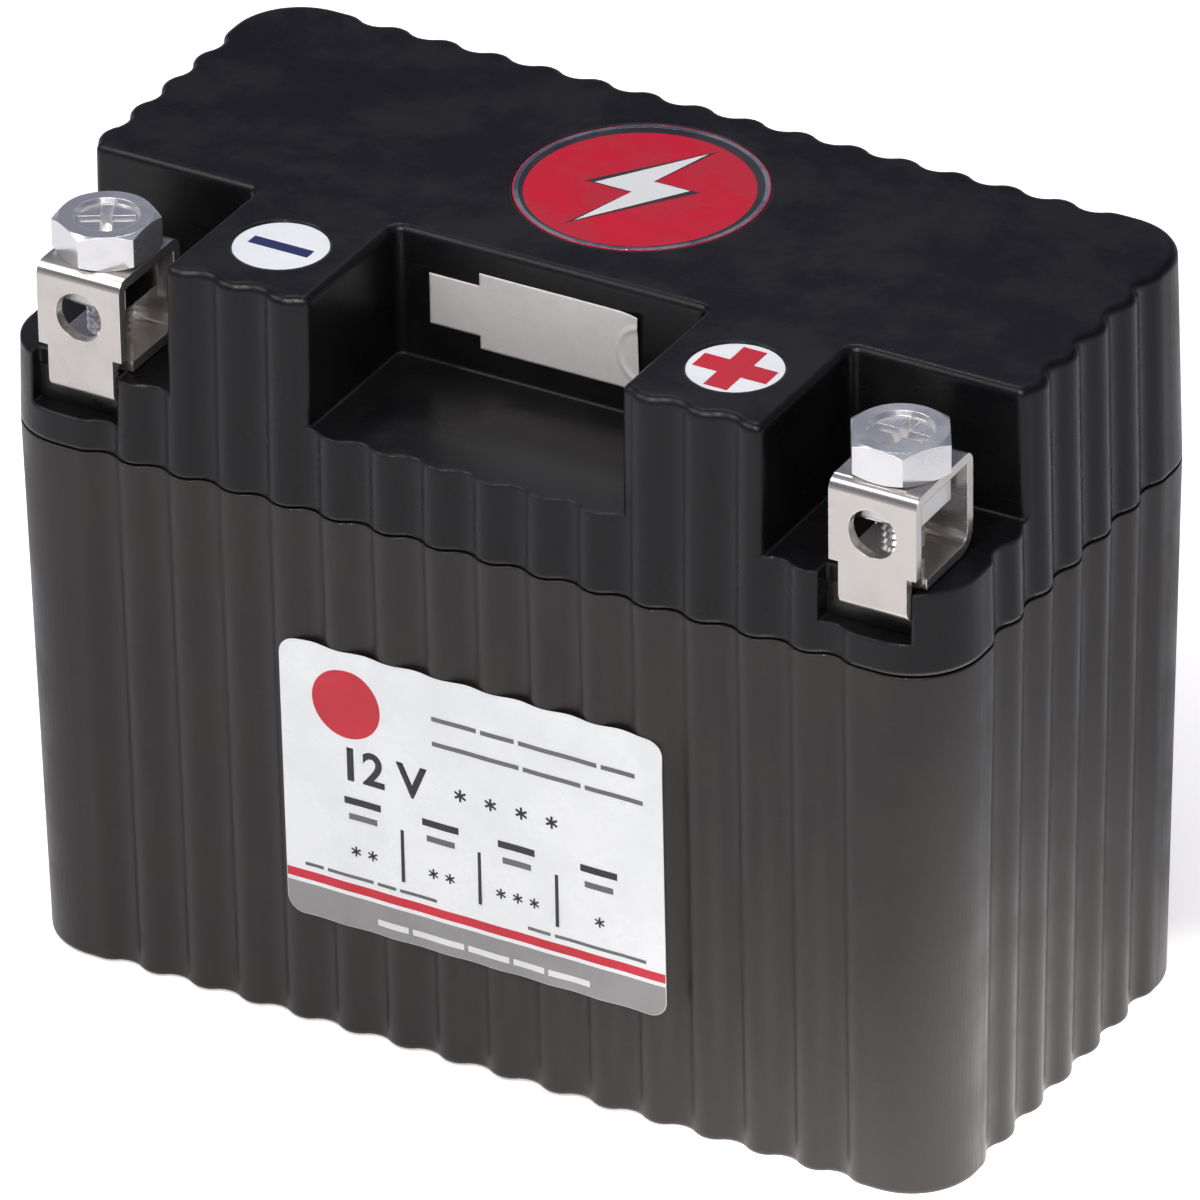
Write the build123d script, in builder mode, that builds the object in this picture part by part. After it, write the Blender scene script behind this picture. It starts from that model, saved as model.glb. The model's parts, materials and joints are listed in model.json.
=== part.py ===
from build123d import *
from math import floor, radians, sqrt, tan
import os

# Twelve-volt starter battery. Millimetres. X runs along the battery, the front faces -Y
# and Z is up. The origin is under the middle of the case, on the surface it stands on.

# ---------------------------------------------------------------- driving dimensions
case_length = 113.0
case_width = 58.0
case_height = 63.5            # floor to the middle of the seam
lid_height = 24.5             # middle of the seam to the lid's top
case_draft = 0.7              # degrees, the case narrows downwards
lid_draft = 1.2               # degrees, the lid narrows upwards
corner_radius = 7.75
corner_flat = 1.5             # least plain strip beside each corner
flute_depth = 0.95
flute_pitch_long = 6.15
flute_pitch_short = 6.4
case_wall = 1.8               # behind the flutes, at the thinnest place
case_floor = 2.5
cavity_radius = 4.0
foot_round = 0.7
top_round = 0.8

# seam between case and lid
seam_gap = 0.4
seal_inset = 0.5
lip_height = 3.0
lip_thickness = 1.1
lip_clearance = 0.15

# lid recesses
lid_roof = 2.2
recess_depth = 15.0           # lid top down to the recess floors
recess_back = 9.47            # middle of the lid forward to the recesses' back walls
recess_floor = 1.8
recess_wall = 1.8
port_recess_half = 18.45      # middle of the lid to the port recess's side walls
terminal_recess_start = 35.18 # middle of the lid to the terminal recesses' side walls
back_wall_phase = 0.48        # where each wall meets the flutes, in flutes past a crest
port_wall_phase = 0.5
terminal_wall_phase = 0.22
recess_round = 1.0

# terminals: folded strip round a square nut, with a hexagon head bolt
negative_from_end = 11.1      # case end to the terminal's middle
positive_from_end = 8.4
strip_width = 10.0
strip_thickness = 1.2
nut_side_clearance = 0.9      # nut to the strip, in front and behind
terminal_setback = 0.1        # behind the front crests
terminal_drop = 3.3           # lid top down to the strip's top
front_hole_drop = 5.2         # strip's top down to the front hole
shoulder_drop = 9.4           # strip's top down to the tongue's shoulders
tongue_width = 7.8
tongue_length = 13.4
bend_radius = 0.9             # at the middle of the strip
curl_radius = 2.0
strip_end_gap = 1.1
terminal_lift = 0.2           # strip above the recess floor
tongue_clearance = 0.1
slot_left = 2.7               # slot beyond the tongue, on its left
slot_right = 0.15
slot_drop = 5.8               # recess floor down to the slot's bottom
slot_depth = 2.6
sealant_depth = 5.0
slot_lip_gap = 0.3            # least gap from a slot to the case's lip

# fasteners
thread_diameter = 5.0
thread_pitch = 0.8
thread_depth = 0.35
thread_clearance = 0.05       # radial, bolt in nut
hole_clearance = 0.5          # bolt holes over the thread's diameter
bolt_length = 10.0
head_across_flats = 10.0
head_height = 4.0
head_chamfer_angle = 30.0
dish_diameter = 7.2
dish_depth = 0.5
cross_length = 6.0
cross_width = 1.3
cross_depth = 2.0
cross_taper = 14.0
seat_gap = 0.05
nut_size = 8.0
nut_height = 4.0
nut_corner = 0.8
nut_chamfer = 0.5

# marks and labels
disc_diameter = 10.2
disc_thickness = 0.4
disc_sink = 0.2
disc_clearance = 0.1
disc_behind_front = 10.3      # front crests back to the disc centres
badge_diameter = 27.0
badge_thickness = 0.3
badge_y = 9.6
label_thickness = 0.15
label_glue = 0.02
label_width = 45.7
label_height = 33.9
label_x = 0.55
label_z = 30.8
label_radius = 2.0

# charging and balancing port behind a foil seal
port_width = 17.2
port_height = 7.4
port_depth = 10.0
port_wall = 1.0
port_back = 1.6
port_centre_drop = 7.5        # lid top down to the port's middle
port_x = 1.0
port_clearance = 0.1
port_flange = 1.2
port_flange_thickness = 1.2
pin_count = 5
pin_pitch = 3.0
pin_diameter = 0.9
pin_clearance = 0.03
pin_reach = 6.0               # pin tip in front of the port's back wall
pin_tail = 1.4
foil_thickness = 0.12
foil_glue = 0.01
foil_width = 19.0
foil_height = 9.0
foil_tail_width = 6.0
foil_tail_height = 6.0
lead_diameter = 1.2

# cells and their connections
cell_count = 4
pad_thickness = 1.0
stack_clearance = 0.15
base_pad_thickness = 1.5
cell_end_clearance = 2.0
carrier_room = 2.2            # terminal slots' bottom down to the tab carrier
cell_round = 1.5
flange_height = 3.0
flange_thickness = 1.0
flange_width = 78.0
tab_width = 16.0
tab_thickness = 0.4
tab_height = 9.0              # above the flange
tab_offset = 24.0             # tab middles either side of the cell's middle
carrier_thickness = 2.0
carrier_drop = 3.0            # carrier top below the top of the tabs
carrier_clearance = 0.3
carrier_leg = 2.0
carrier_leg_offset = 43.0
tab_clearance = 0.3           # tabs in the carrier's slots
link_thickness = 0.8
link_width = 14.0
link_rise = 2.4
strap_thickness = 1.0
strap_width = 8.0

# ---------------------------------------------------------------- worked out from those
top_z = case_height + lid_height
half_length = case_length / 2
half_width = case_width / 2
case_inset = case_height * tan(radians(case_draft))
lid_inset = lid_height * tan(radians(lid_draft))
long_crests = floor((case_length - 2 * (corner_radius + corner_flat)) / flute_pitch_long) + 1
short_crests = floor((case_width - 2 * (corner_radius + corner_flat)) / flute_pitch_short) + 1
wall_room = 2 * (flute_depth + case_inset + case_wall)
cavity_length = case_length - wall_room
cavity_width = case_width - wall_room
case_rim_z = case_height - seam_gap / 2
lid_rim_z = case_height + seam_gap / 2



def place_in_flutes(distance, pitch, crests, phase):
    """Nearest distance from the middle of a side that lies at a phase past a crest."""
    first = phase if crests % 2 else phase + 0.5
    return (round(distance / pitch - first) + first) * pitch


floor_z = top_z - recess_depth
under_floor_z = floor_z - recess_floor
back_wall_y = -place_in_flutes(recess_back, flute_pitch_short, short_crests, back_wall_phase)
port_wall_x = place_in_flutes(port_recess_half, flute_pitch_long, long_crests, port_wall_phase)
terminal_wall_x = place_in_flutes(
    terminal_recess_start, flute_pitch_long, long_crests, terminal_wall_phase
)
port_recess_width = 2 * port_wall_x
pedestal_width = terminal_wall_x - port_wall_x
roof_z = top_z - lid_roof

negative_x = negative_from_end - half_length
positive_x = half_length - positive_from_end
terminal_depth = nut_size + 2 * nut_side_clearance + 2 * strip_thickness
bolt_hole = thread_diameter + hole_clearance
terminal_front_y = terminal_setback - half_width
terminal_back_y = terminal_front_y + terminal_depth
bolt_y = terminal_front_y + terminal_depth / 2
terminal_top_z = top_z - terminal_drop
front_hole_z = terminal_top_z - front_hole_drop
tongue_top_z = under_floor_z - tongue_clearance
tongue_bottom_z = tongue_top_z - strip_thickness
tongue_end_y = terminal_front_y + tongue_length
slot_z = floor_z - slot_drop
slot_back_y = slot_depth - half_width
thread_radius = thread_diameter / 2 - thread_clearance
disc_x = port_wall_x + pedestal_width / 2
disc_y = disc_behind_front - half_width

port_z = top_z - port_centre_drop
port_front_y = back_wall_y
port_back_y = port_front_y + port_depth

carrier_z = slot_z - carrier_room
carrier_bottom_z = carrier_z - carrier_thickness
tab_top_z = carrier_z + carrier_drop
cell_top_z = tab_top_z - tab_height - flange_height
stack_floor_z = case_floor + base_pad_thickness
cell_height = cell_top_z - stack_floor_z
cell_length = cavity_length - 2 * cell_end_clearance
pads_width = (cell_count + 1) * pad_thickness
cell_thickness = (cavity_width - 2 * stack_clearance - pads_width) / cell_count
cell_step = cell_thickness + pad_thickness
cell_ys = [(n - (cell_count - 1) / 2) * cell_step for n in range(cell_count)]
strap_z = tongue_bottom_z - strap_thickness

os.makedirs("parts", exist_ok=True)


def save(part, name):
    """Label a finished piece and write it to its own file."""
    part.label = name
    export_step(part, f"parts/{name}.step")


def fluted_side(turn, reach, crests, pitch):
    """One wall of the fluted outline: tangent arcs from the first crest to the last."""

    def at(along, depth):
        return Vector(along, depth - reach).rotate(Axis.Z, turn)

    direction = Vector(1, 0).rotate(Axis.Z, turn)
    start = -(crests - 1) * pitch / 2
    half = flute_depth / 2
    for crest in range(crests - 1):
        here = start + crest * pitch
        if crest == 0:
            TangentArc(at(here, 0), at(here + pitch / 4, half), tangent=direction)
        else:
            ThreePointArc(at(here - pitch / 4, half), at(here, 0), at(here + pitch / 4, half))
        ThreePointArc(
            at(here + pitch / 4, half),
            at(here + pitch / 2, flute_depth),
            at(here + 3 * pitch / 4, half),
        )
    TangentArc(at(-start, 0), at(-start - pitch / 4, half), tangent=-direction)


def fluted_outline(inset):
    """Closed fluted outline, its crests the inset inside the case's length and width."""
    reach_x = half_length - inset
    reach_y = half_width - inset
    long_run = (long_crests - 1) * flute_pitch_long / 2
    short_run = (short_crests - 1) * flute_pitch_short / 2
    for turn in (0, 90, 180, 270):
        along_x = turn in (0, 180)
        reach, other = (reach_y, reach_x) if along_x else (reach_x, reach_y)
        run, next_run = (long_run, short_run) if along_x else (short_run, long_run)
        crests = long_crests if along_x else short_crests
        pitch = flute_pitch_long if along_x else flute_pitch_short
        fluted_side(turn, reach, crests, pitch)

        def at(along, depth):
            return Vector(along, depth - reach).rotate(Axis.Z, turn)

        Line(at(run, 0), at(other - corner_radius, 0))
        middle = corner_radius * (1 - sqrt(0.5))
        ThreePointArc(
            at(other - corner_radius, 0),
            at(other - middle, middle),
            at(other, corner_radius),
        )
        Line(at(other, corner_radius), at(other, reach - next_run))


def fluted_sketch(height, inset):
    """Filled fluted outline on a level plane."""
    with BuildSketch(Plane.XY.offset(height)) as sketch:
        with BuildLine():
            fluted_outline(inset)
        make_face()
    return sketch.sketch


def terminal_slot(centre_x):
    """Middle and width of the slot that a terminal's tongue goes down through."""
    left = centre_x - tongue_width / 2 - slot_left
    right = centre_x + tongue_width / 2 + slot_right
    return (left + right) / 2, right - left


# ---------------------------------------------------------------- case
with BuildPart() as case:
    loft([fluted_sketch(0, case_inset), fluted_sketch(case_rim_z, 0)], ruled=True)
    fillet(case.faces().sort_by(Axis.Z)[0].outer_wire().edges(), foot_round)
    with BuildSketch(Plane.XY.offset(case_floor)):
        RectangleRounded(cavity_length, cavity_width, cavity_radius)
    extrude(amount=case_height, mode=Mode.SUBTRACT)
    with BuildSketch(Plane.XY.offset(case_rim_z)):
        RectangleRounded(
            cavity_length + 2 * lip_thickness,
            cavity_width + 2 * lip_thickness,
            cavity_radius + lip_thickness,
        )
        RectangleRounded(cavity_length, cavity_width, cavity_radius, mode=Mode.SUBTRACT)
    extrude(amount=lip_height)
    # the lip stops short of a terminal's slot that comes down to it
    for centre_x in (negative_x, positive_x):
        slot_x, slot_width = terminal_slot(centre_x)
        with BuildSketch(Plane.XY.offset(slot_z - slot_lip_gap)):
            with Locations((slot_x, slot_back_y - slot_lip_gap)):
                Rectangle(
                    slot_width + 2 * slot_lip_gap,
                    sealant_depth + 2 * slot_lip_gap,
                    align=(Align.CENTER, Align.MIN),
                )
        extrude(amount=recess_depth, mode=Mode.SUBTRACT)
save(case.part, "case")

# ---------------------------------------------------------------- seal in the seam
lip_room = 2 * (lip_thickness + lip_clearance)
with BuildPart() as lid_seal:
    with BuildSketch(Plane.XY.offset(case_rim_z)):
        with BuildLine():
            fluted_outline(seal_inset)
        make_face()
        RectangleRounded(
            cavity_length + lip_room,
            cavity_width + lip_room,
            cavity_radius + lip_room / 2,
            mode=Mode.SUBTRACT,
        )
    extrude(amount=seam_gap)
save(lid_seal.part, "lid_seal")

# ---------------------------------------------------------------- lid
near = 0.01
front_cut_y = -half_width - flute_depth
recess_y = (front_cut_y + back_wall_y) / 2
recess_run = back_wall_y - front_cut_y
end_cut_x = half_length + flute_depth
terminal_recess = end_cut_x - terminal_wall_x


def lid_plan(height, inset):
    """Lid outline at a level above the recess floors, its upright corners rounded."""
    with BuildSketch(Plane.XY.offset(height)) as plan:
        with BuildLine():
            fluted_outline(inset)
        make_face()
        with Locations((0, recess_y)):
            Rectangle(port_recess_width, recess_run, mode=Mode.SUBTRACT)
        for side in (-1, 1):
            with Locations((side * (terminal_wall_x + terminal_recess / 2), recess_y)):
                Rectangle(terminal_recess, recess_run, mode=Mode.SUBTRACT)
        corners = plan.vertices().filter_by(
            lambda v: abs(abs(v.X) - port_wall_x) < near
            or abs(abs(v.X) - terminal_wall_x) < near
            or abs(v.Y - back_wall_y) < near
        )
        fillet(corners.filter_by(lambda v: v.Y < 0), recess_round)
    return plan.sketch


def inset_at(height):
    """How far the lid's crests have drawn in at a height."""
    return lid_inset * (height - lid_rim_z) / (top_z - lid_rim_z)


with BuildPart() as lid:
    loft([lid_plan(floor_z, inset_at(floor_z)), lid_plan(top_z, lid_inset)], ruled=True)
    fillet(lid.faces().sort_by(Axis.Z)[-1].outer_wire().edges(), top_round)
    loft([fluted_sketch(lid_rim_z, 0), fluted_sketch(floor_z, inset_at(floor_z))], ruled=True)
    # hollow: under the floors, inside the pedestals and behind the recesses
    with BuildSketch(Plane.XY.offset(lid_rim_z)):
        RectangleRounded(cavity_length, cavity_width, cavity_radius)
    extrude(amount=under_floor_z - lid_rim_z, mode=Mode.SUBTRACT)
    chamber_y = back_wall_y + recess_wall
    chamber_back_y = cavity_width / 2
    pedestal_front_y = -chamber_back_y
    with BuildSketch(Plane.XY.offset(under_floor_z - recess_round)):
        with Locations((0, (chamber_y + chamber_back_y) / 2)):
            Rectangle(cavity_length - 2 * recess_round, chamber_back_y - chamber_y)
        with Locations(*[(side * disc_x, (chamber_y + pedestal_front_y) / 2) for side in (-1, 1)]):
            Rectangle(pedestal_width - 2 * recess_wall, chamber_y - pedestal_front_y)
    extrude(amount=roof_z - under_floor_z + recess_round, mode=Mode.SUBTRACT)
    # rebate for the case's lip
    with BuildSketch(Plane.XY.offset(lid_rim_z)):
        RectangleRounded(
            cavity_length + lip_room, cavity_width + lip_room, cavity_radius + lip_room / 2
        )
    extrude(amount=lip_height, mode=Mode.SUBTRACT)
    # slots that the terminals' tongues go down through
    for centre_x in (negative_x, positive_x):
        slot_x, slot_width = terminal_slot(centre_x)
        with BuildSketch(Plane.XY.offset(slot_z)):
            with Locations((slot_x, (front_cut_y + slot_back_y) / 2)):
                Rectangle(slot_width, slot_back_y - front_cut_y)
        extrude(amount=recess_depth, mode=Mode.SUBTRACT)
        with BuildSketch(Plane.XY.offset(slot_z)):
            with Locations((slot_x, slot_back_y)):
                Rectangle(slot_width, sealant_depth, align=(Align.CENTER, Align.MIN))
        extrude(amount=under_floor_z - slot_z, mode=Mode.SUBTRACT)
    # window for the port, in the middle recess's back wall
    with BuildSketch(Plane.XZ.offset(-back_wall_y)):
        with Locations((port_x, port_z)):
            Rectangle(port_width + 2 * port_clearance, port_height + 2 * port_clearance)
    extrude(amount=-recess_wall, mode=Mode.SUBTRACT)
    # shallow seats for the polarity discs and the badge
    with BuildSketch(Plane.XY.offset(top_z - disc_thickness - disc_sink)):
        with Locations((-disc_x, disc_y), (disc_x, disc_y)):
            Circle(disc_diameter / 2 + disc_clearance)
    extrude(amount=lid_roof, mode=Mode.SUBTRACT)
    with BuildSketch(Plane.XY.offset(top_z - badge_thickness)):
        with Locations((0, badge_y)):
            Circle(badge_diameter / 2 + disc_clearance)
    extrude(amount=lid_roof, mode=Mode.SUBTRACT)
save(lid.part, "lid")


# ---------------------------------------------------------------- terminals
def terminal(name, centre_x):
    """Strip folded round the nut, its tongue going down into the lid's slot."""
    half_strip = strip_thickness / 2
    front = terminal_front_y + half_strip
    back = terminal_back_y - half_strip
    low = floor_z + terminal_lift + half_strip
    high = terminal_top_z - half_strip
    with BuildPart() as strip:
        with BuildLine(Plane.YZ.offset(centre_x)) as route:
            FilletPolyline(
                (tongue_end_y, tongue_bottom_z + half_strip),
                (front, tongue_bottom_z + half_strip),
                (front, high),
                (back, high),
                (back, low),
                (terminal_front_y + strip_thickness + strip_end_gap, low),
                radius=[bend_radius, bend_radius, bend_radius, curl_radius],
            )
        with BuildSketch(Plane(route.line @ 0, x_dir=(1, 0, 0), z_dir=route.line % 0)):
            Rectangle(strip_width, strip_thickness)
        sweep()
        # narrow the tongue below its shoulders
        shoulder_z = terminal_top_z - shoulder_drop
        notch = (strip_width - tongue_width) / 2
        with BuildSketch(Plane.YZ.offset(centre_x - strip_width / 2)) as notch_side:
            with Locations((tongue_end_y, tongue_bottom_z)):
                Rectangle(
                    tongue_length, tongue_top_z - tongue_bottom_z, align=(Align.MAX, Align.MIN)
                )
            with Locations((terminal_front_y, tongue_bottom_z)):
                Rectangle(
                    strip_thickness + bend_radius,
                    shoulder_z - tongue_bottom_z,
                    align=(Align.MIN, Align.MIN),
                )
        extrude(amount=notch, mode=Mode.SUBTRACT)
        extrude(
            notch_side.sketch.moved(Pos(strip_width - notch, 0, 0)),
            amount=notch,
            mode=Mode.SUBTRACT,
        )
        # bolt holes in the top and in the front
        with Locations((centre_x, bolt_y, terminal_top_z)):
            Hole(bolt_hole / 2, depth=strip_thickness + seat_gap)
        with Locations(Plane((centre_x, terminal_front_y, front_hole_z), z_dir=(0, -1, 0))):
            Hole(bolt_hole / 2, depth=strip_thickness + seat_gap)
    save(strip.part, name)


def nut(name, centre_x):
    """Square nut held from turning inside the folded strip."""
    nut_top = terminal_top_z - strip_thickness - seat_gap
    with BuildPart() as block:
        with BuildSketch(Plane.XY.offset(nut_top - nut_height)):
            with Locations((centre_x, bolt_y)):
                corners = Rectangle(nut_size, nut_size)
            chamfer(corners.vertices(), nut_corner)
        extrude(amount=nut_height)
        chamfer(block.faces().sort_by(Axis.Z)[0].edges(), nut_chamfer)
        with Locations((centre_x, bolt_y, nut_top)):
            Hole(thread_diameter / 2, depth=nut_height)
    save(block.part, name)


def bolt(name, centre_x, turn):
    """Hexagon head, chamfered on both faces and cross-slotted in a dish, on a ringed shank."""
    seat = Plane((centre_x, bolt_y, terminal_top_z + seat_gap)).rotated((0, 0, turn))
    side = Plane(seat.origin, x_dir=(1, 0, 0), z_dir=(0, -1, 0))
    corner = head_across_flats / sqrt(3)
    across = head_across_flats / 2
    drop = (corner - across) * tan(radians(head_chamfer_angle))
    dish_z = head_height - dish_depth
    with BuildPart() as screw:
        with BuildSketch(seat):
            RegularPolygon(corner, 6)
        extrude(amount=head_height)
        with BuildSketch(side):
            with BuildLine():
                Polyline(
                    (0, 0),
                    (across, 0),
                    (corner, drop),
                    (corner, head_height - drop),
                    (across, head_height),
                    (0, head_height),
                    close=True,
                )
            make_face()
        revolve(axis=Axis(seat.origin, seat.z_dir), mode=Mode.INTERSECT)
        with BuildSketch(seat.offset(head_height)):
            Circle(dish_diameter / 2)
        extrude(amount=-dish_depth, taper=head_chamfer_angle, mode=Mode.SUBTRACT)
        with BuildSketch(seat.offset(dish_z)):
            Rectangle(cross_length, cross_width)
            Rectangle(cross_width, cross_length)
        extrude(amount=-cross_depth, taper=cross_taper, mode=Mode.SUBTRACT)
        with BuildSketch(side):
            rings = floor(bolt_length / thread_pitch)
            root = thread_radius - thread_depth
            with BuildLine():
                crest_points = [(root, 0)]
                for ring in range(rings):
                    down = -ring * thread_pitch
                    crest_points.append((thread_radius, down - thread_pitch / 2))
                    crest_points.append((root, down - thread_pitch))
                Polyline((0, 0), *crest_points, (0, -rings * thread_pitch), close=True)
            make_face()
        revolve(axis=Axis(seat.origin, seat.z_dir))
    save(screw.part, name)


def sealant(name, centre_x):
    """Resin block that closes a terminal's slot inside the lid."""
    slot_x, slot_width = terminal_slot(centre_x)
    with BuildPart() as block:
        with BuildSketch(Plane.XY.offset(slot_z)):
            with Locations((slot_x, slot_back_y)):
                Rectangle(slot_width, sealant_depth, align=(Align.CENTER, Align.MIN))
        extrude(amount=under_floor_z - slot_z)
        with BuildSketch(Plane.XY.offset(tongue_bottom_z)):
            with Locations((centre_x, slot_back_y)):
                Rectangle(tongue_width, 2 * sealant_depth)
        extrude(amount=strip_thickness, mode=Mode.SUBTRACT)
    save(block.part, name)


for ending, centre_x, turn in (("negative", negative_x, 30), ("positive", positive_x, 0)):
    terminal(f"terminal_{ending}", centre_x)
    nut(f"nut_{ending}", centre_x)
    bolt(f"bolt_{ending}", centre_x, turn)
    sealant(f"terminal_sealant_{ending}", centre_x)

# ---------------------------------------------------------------- marks and labels
for ending, side in (("negative", -1), ("positive", 1)):
    with BuildPart() as disc:
        with BuildSketch(Plane.XY.offset(top_z - disc_thickness - disc_sink)):
            with Locations((side * disc_x, disc_y)):
                Circle(disc_diameter / 2)
        extrude(amount=disc_thickness)
    save(disc.part, f"polarity_disc_{ending}")

with BuildPart() as badge:
    with BuildSketch(Plane.XY.offset(top_z - badge_thickness)):
        with Locations((0, badge_y)):
            Circle(badge_diameter / 2)
    extrude(amount=badge_thickness)
save(badge.part, "top_badge")

# film stretched over the crests, leaning with the case's front
crest_slope = case_inset / case_rim_z
label_y = case_inset - half_width - crest_slope * label_z - label_glue
label_plane = Plane(
    (label_x, label_y, label_z), x_dir=(1, 0, 0), z_dir=(0, -1, -crest_slope)
)
with BuildPart() as label:
    with BuildSketch(label_plane):
        RectangleRounded(label_width, label_height, label_radius)
    extrude(amount=label_thickness)
save(label.part, "front_label")

# ---------------------------------------------------------------- charging and balancing port
with BuildPart() as port:
    with BuildSketch(Plane.XZ.offset(-port_front_y)):
        with Locations((port_x, port_z)):
            Rectangle(port_width, port_height)
    extrude(amount=-port_depth)
    with BuildSketch(Plane.XZ.offset(-port_front_y)):
        with Locations((port_x, port_z)):
            Rectangle(port_width - 2 * port_wall, port_height - 2 * port_wall)
    extrude(amount=port_back - port_depth, mode=Mode.SUBTRACT)
    with BuildSketch(Plane.XZ.offset(-port_front_y - recess_wall)):
        with Locations((port_x, port_z)):
            Rectangle(port_width + 2 * port_flange, port_height + 2 * port_flange)
            Rectangle(port_width - port_wall, port_height - port_wall, mode=Mode.SUBTRACT)
    extrude(amount=-port_flange_thickness)
    with Locations(Plane((port_x, port_back_y, port_z), x_dir=(1, 0, 0), z_dir=(0, 1, 0))):
        with GridLocations(pin_pitch, 1, pin_count, 1):
            Hole(pin_diameter / 2 + pin_clearance, depth=port_back)
save(port.part, "balance_port")

with BuildPart() as pins:
    with BuildSketch(Plane.XZ.offset(-port_back_y - pin_tail)):
        with Locations((port_x, port_z)):
            with GridLocations(pin_pitch, 1, pin_count, 1):
                Circle(pin_diameter / 2)
    extrude(amount=pin_tail + port_back + pin_reach)
save(pins.part, "port_pins")

with BuildPart() as foil:
    with BuildSketch(Plane.XZ.offset(-back_wall_y + foil_glue)):
        with Locations((port_x, port_z)):
            Rectangle(foil_width, foil_height)
        with Locations((port_x - foil_width / 2, port_z)):
            Rectangle(foil_tail_width, foil_tail_height, align=(Align.MAX, Align.CENTER))
    extrude(amount=foil_thickness)
save(foil.part, "port_seal")

# ---------------------------------------------------------------- cells
flange_top_z = cell_top_z + flange_height
for number, cell_y in enumerate(cell_ys, start=1):
    with BuildPart() as cell:
        with BuildSketch(Plane.XY.offset(stack_floor_z)):
            with Locations((0, cell_y)):
                Rectangle(cell_length, cell_thickness)
        extrude(amount=cell_height)
        fillet(cell.edges().filter_by(Axis.Z), cell_round)
        with BuildSketch(Plane.XY.offset(cell_top_z)):
            with Locations((0, cell_y)):
                Rectangle(flange_width, flange_thickness)
        extrude(amount=flange_height)
    save(cell.part, f"cell_{number}")
    with BuildPart() as tabs:
        with BuildSketch(Plane.XY.offset(flange_top_z)):
            with Locations((-tab_offset, cell_y), (tab_offset, cell_y)):
                Rectangle(tab_width, tab_thickness)
        extrude(amount=tab_height)
    save(tabs.part, f"cell_tabs_{number}")

with BuildPart() as pads:
    with BuildSketch(Plane.XY.offset(stack_floor_z)):
        for number in range(cell_count + 1):
            with Locations((0, (number - cell_count / 2) * cell_step)):
                Rectangle(cavity_length - 2 * cavity_radius, pad_thickness)
    extrude(amount=cell_height)
save(pads.part, "cell_pads")

with BuildPart() as base_pad:
    with BuildSketch(Plane.XY.offset(case_floor)):
        RectangleRounded(
            cavity_length - 2 * carrier_clearance,
            cavity_width - 2 * carrier_clearance,
            cavity_radius,
        )
    extrude(amount=base_pad_thickness)
save(base_pad.part, "base_pad")

with BuildPart() as carrier:
    with BuildSketch(Plane.XY.offset(carrier_bottom_z)):
        RectangleRounded(
            cavity_length - 2 * carrier_clearance,
            cavity_width - 2 * carrier_clearance,
            cavity_radius,
        )
        for cell_y in cell_ys:
            with Locations((-tab_offset, cell_y), (tab_offset, cell_y)):
                Rectangle(
                    tab_width + 2 * tab_clearance,
                    tab_thickness + 2 * tab_clearance,
                    mode=Mode.SUBTRACT,
                )
    extrude(amount=carrier_thickness)
    with BuildSketch(Plane.XY.offset(cell_top_z)):
        for side in (-1, 1):
            with Locations((side * carrier_leg_offset, 0)):
                Rectangle(carrier_leg, cavity_width - 2 * cavity_radius)
    extrude(amount=carrier_bottom_z - cell_top_z)
save(carrier.part, "tab_carrier")

# ---------------------------------------------------------------- links and straps
face = tab_thickness / 2
for number in range(1, cell_count):
    side = 1 if number % 2 else -1
    near_y = cell_ys[number - 1] + face
    far_y = cell_ys[number] - face
    with BuildPart() as link:
        with BuildSketch(Plane.YZ.offset(side * tab_offset - link_width / 2)):
            with Locations((near_y, carrier_z)):
                Rectangle(far_y - near_y, link_rise, align=(Align.MIN, Align.MIN))
            with Locations((near_y + link_thickness, carrier_z + link_thickness)):
                Rectangle(
                    far_y - near_y - 2 * link_thickness,
                    link_rise,
                    align=(Align.MIN, Align.MIN),
                    mode=Mode.SUBTRACT,
                )
        extrude(amount=link_width)
    save(link.part, f"series_link_{number}")


def strap(name, tab_y, inward, terminal_x):
    """Bar from an end cell's tab to the underside of a terminal's tongue."""
    leg_y = tab_y + inward * (face + strap_thickness / 2)
    with BuildPart() as bar:
        with BuildSketch(Plane.XY.offset(carrier_z)):
            with Locations((-tab_offset, leg_y)):
                Rectangle(link_width, strap_thickness)
        extrude(amount=strap_z - carrier_z)
        with BuildSketch(Plane.XY.offset(strap_z)):
            low_x = min(-tab_offset - link_width / 2, terminal_x - strap_width / 2)
            high_x = max(-tab_offset + link_width / 2, terminal_x + strap_width / 2)
            outer_y = leg_y - inward * strap_thickness / 2
            with Locations(((low_x + high_x) / 2, outer_y + inward * strap_width / 2)):
                Rectangle(high_x - low_x, strap_width)
            reach_y = tongue_end_y - strap_width / 2
            end_y = outer_y + inward * strap_width
            with Locations((terminal_x, (reach_y + end_y) / 2)):
                Rectangle(strap_width, abs(end_y - reach_y))
        extrude(amount=strap_thickness)
    save(bar.part, name)


strap("strap_negative", cell_ys[0], 1, negative_x)
strap("strap_positive", cell_ys[-1], -1, positive_x)

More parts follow.
